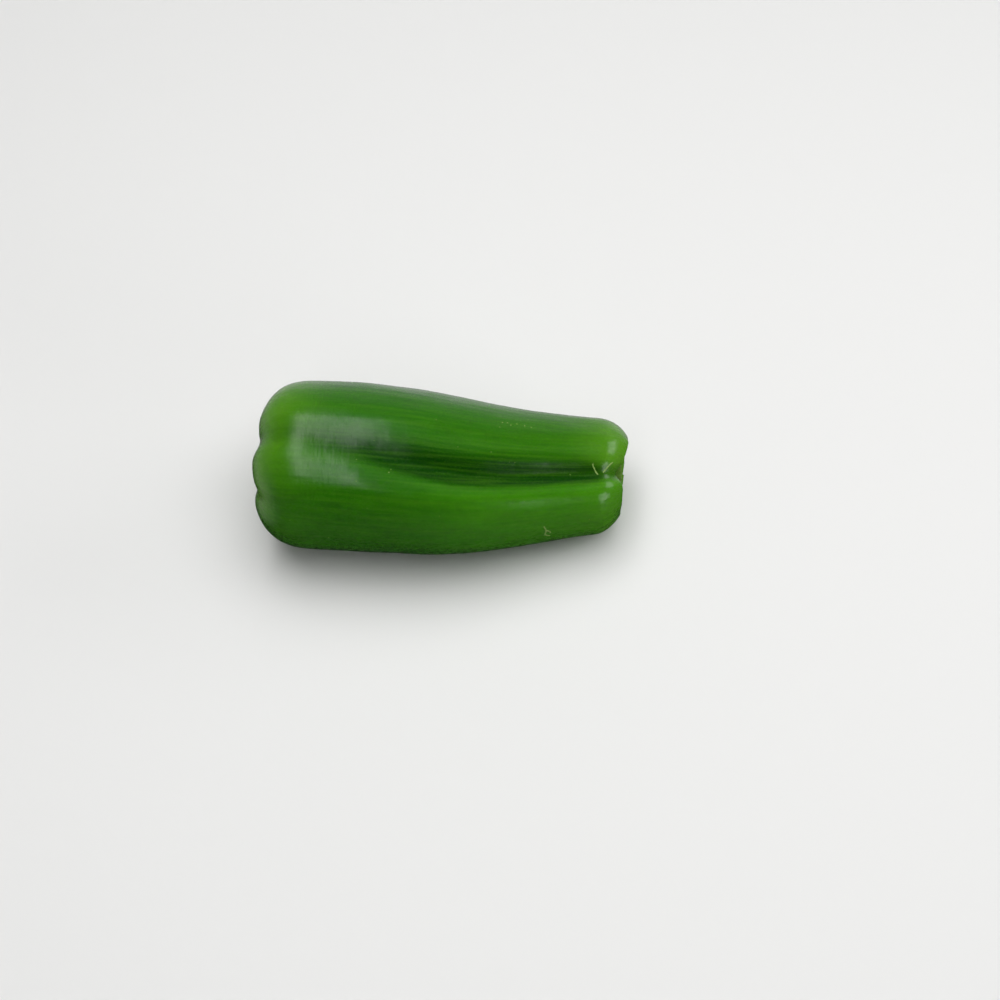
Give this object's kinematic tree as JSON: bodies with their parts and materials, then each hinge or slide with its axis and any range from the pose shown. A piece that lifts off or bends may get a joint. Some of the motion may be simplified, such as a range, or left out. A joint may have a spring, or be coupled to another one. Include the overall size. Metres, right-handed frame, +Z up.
{
  "type": "bell pepper",
  "caption": "Long green bell pepper lying on its side: lobed, tapering fruit with a dented stem end, star-shaped calyx and short cut stem.",
  "frame": {"origin": "centre of the bounding box's bottom, on the surface that the pepper lies on", "axes": "+X along the fruit towards its stem end, +Z up, +Y across it"},
  "size_m": [0.1541, 0.0712, 0.0681],
  "materials": {
    "skin": "smooth waxy green skin, satin to glossy",
    "calyx": "matt green, faintly veined sepals",
    "stem": "matt, ribbed, pale yellow-green, paler where it is cut"
  },
  "bodies": {
    "root": {"fruit": "skin", "calyx": "calyx", "stem": "stem"}
  },
  "joints": []
}
